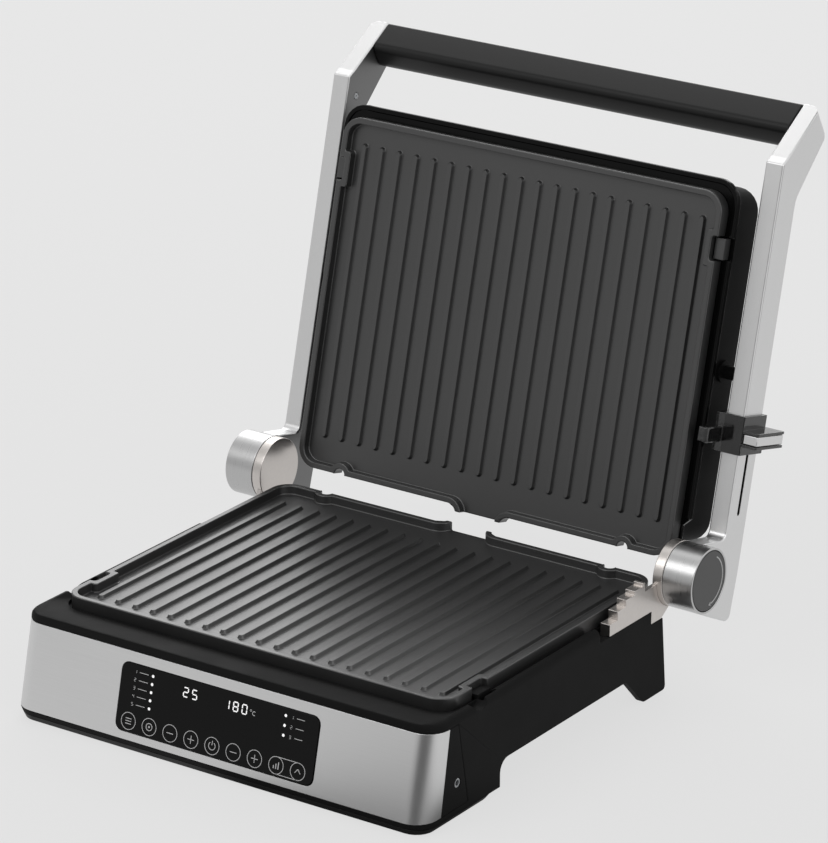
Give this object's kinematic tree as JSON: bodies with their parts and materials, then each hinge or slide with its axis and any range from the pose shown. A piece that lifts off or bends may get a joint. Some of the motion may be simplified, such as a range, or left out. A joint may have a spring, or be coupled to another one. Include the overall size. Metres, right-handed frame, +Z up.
{
  "type": "contact grill",
  "caption": "Contact grill standing open: ribbed lower and upper plates, sloping steel front with a dark control panel, and a lid carried by two light metal arms with a bar handle.",
  "frame": {"origin": "centre of the bounding box's bottom face, on the table the feet stand on", "axes": "+X to the grill's right as seen from the front, +Y from the control panel towards the hinge, +Z up"},
  "size_m": [0.3766, 0.4336, 0.3618],
  "materials": {
    "housing_black": "fine-grained moulded black plastic",
    "gloss_black": "glossy black moulding",
    "black_glass": "smooth black control panel",
    "nonstick": "dark grey non-stick coating on cast aluminium",
    "brushed_steel": "fine brushed steel sheet",
    "satin_aluminium": "satin light metal",
    "bracket_metal": "cast and lightly polished light metal",
    "disc_grey": "dark grey plastic",
    "smoke_plastic": "dark smoke-coloured plastic",
    "rubber": "matte rubber",
    "board": "green circuit board",
    "element": "heat-tinted steel tube",
    "reflector": "bright rolled sheet",
    "screw_steel": "plated steel"
  },
  "bodies": {
    "base": {"base_housing": "housing_black", "front_steel_panel": "brushed_steel", "control_glass": "black_glass", "display_board": "board", "fascia_cap_left": "housing_black", "fascia_cap_right": "housing_black", "fascia_screw_left": "screw_steel", "fascia_screw_right": "screw_steel", "bottom_cover": "housing_black", "foot_front_left": "rubber", "foot_front_right": "rubber", "foot_rear_left": "rubber", "foot_rear_right": "rubber", "lower_grill_plate": "nonstick", "lower_heating_element": "element", "lower_reflector": "reflector", "lower_thermostat": "screw_steel", "power_board": "board", "stair_bracket_right": "bracket_metal", "hinge_bracket_left": "bracket_metal", "hinge_axle_left": "screw_steel", "hinge_axle_right": "screw_steel", "cord_gland": "housing_black"},
    "lid_arms": {"arm_left": "satin_aluminium", "arm_right": "satin_aluminium", "hub_cap_left": "disc_grey", "handle_bar": "housing_black", "handle_rod": "screw_steel", "arm_screw_left": "screw_steel", "arm_screw_right": "screw_steel", "float_pin_left": "gloss_black", "float_pin_right": "gloss_black", "button_spring": "screw_steel"},
    "upper_housing": {"upper_frame": "gloss_black", "upper_cover": "housing_black", "upper_grill_plate": "nonstick", "upper_heating_element": "element", "upper_reflector": "reflector", "upper_thermostat": "screw_steel"},
    "release_button": {"release_button": "disc_grey"},
    "height_slider": {"height_slider": "smoke_plastic", "slider_grip": "satin_aluminium"},
    "lower_latch_left": {"lower_latch_left": "housing_black"},
    "lower_latch_right": {"lower_latch_right": "housing_black"},
    "upper_latch_left": {"upper_latch_left": "housing_black"},
    "upper_latch_right": {"upper_latch_right": "housing_black"},
    "drip_tray": {"drip_tray": "gloss_black"}
  },
  "joints": [
    {"name": "lid_hinge", "type": "hinge", "parent": "base", "child": "lid_arms", "pos_m": [-0.00225, 0.07031, 0.0797], "axis": [1, 0, 0], "range_deg": [-76, 104]},
    {"name": "plate_float", "type": "hinge", "parent": "lid_arms", "child": "upper_housing", "pos_m": [-0.00225, 0.14152, 0.19459], "axis": [1, 0, 0], "range_deg": [0, 4]},
    {"name": "release_push", "type": "slide", "parent": "lid_arms", "child": "release_button", "axis": [-1, 0, 0], "range_m": [0, 0.0025], "stiffness_N_per_m": 600, "springref_m": -0.001},
    {"name": "height_slide", "type": "slide", "parent": "lid_arms", "child": "height_slider", "axis": [0, -0.2419, -0.9703], "range_m": [0, 0.044]},
    {"name": "lower_latch_left_slide", "type": "slide", "parent": "base", "child": "lower_latch_left", "axis": [-1, 0, 0], "range_m": [0, 0.004], "stiffness_N_per_m": 400, "springref_m": -0.001},
    {"name": "lower_latch_right_slide", "type": "slide", "parent": "base", "child": "lower_latch_right", "axis": [1, 0, 0], "range_m": [0, 0.004], "stiffness_N_per_m": 400, "springref_m": -0.001},
    {"name": "upper_latch_left_slide", "type": "slide", "parent": "upper_housing", "child": "upper_latch_left", "axis": [-1, 0, 0], "range_m": [0, 0.004], "stiffness_N_per_m": 400, "springref_m": -0.001},
    {"name": "upper_latch_right_slide", "type": "slide", "parent": "upper_housing", "child": "upper_latch_right", "axis": [1, 0, 0], "range_m": [0, 0.004], "stiffness_N_per_m": 400, "springref_m": -0.001},
    {"name": "tray_slide", "type": "slide", "parent": "base", "child": "drip_tray", "axis": [0, 1, 0], "range_m": [0, 0.045]}
  ]
}
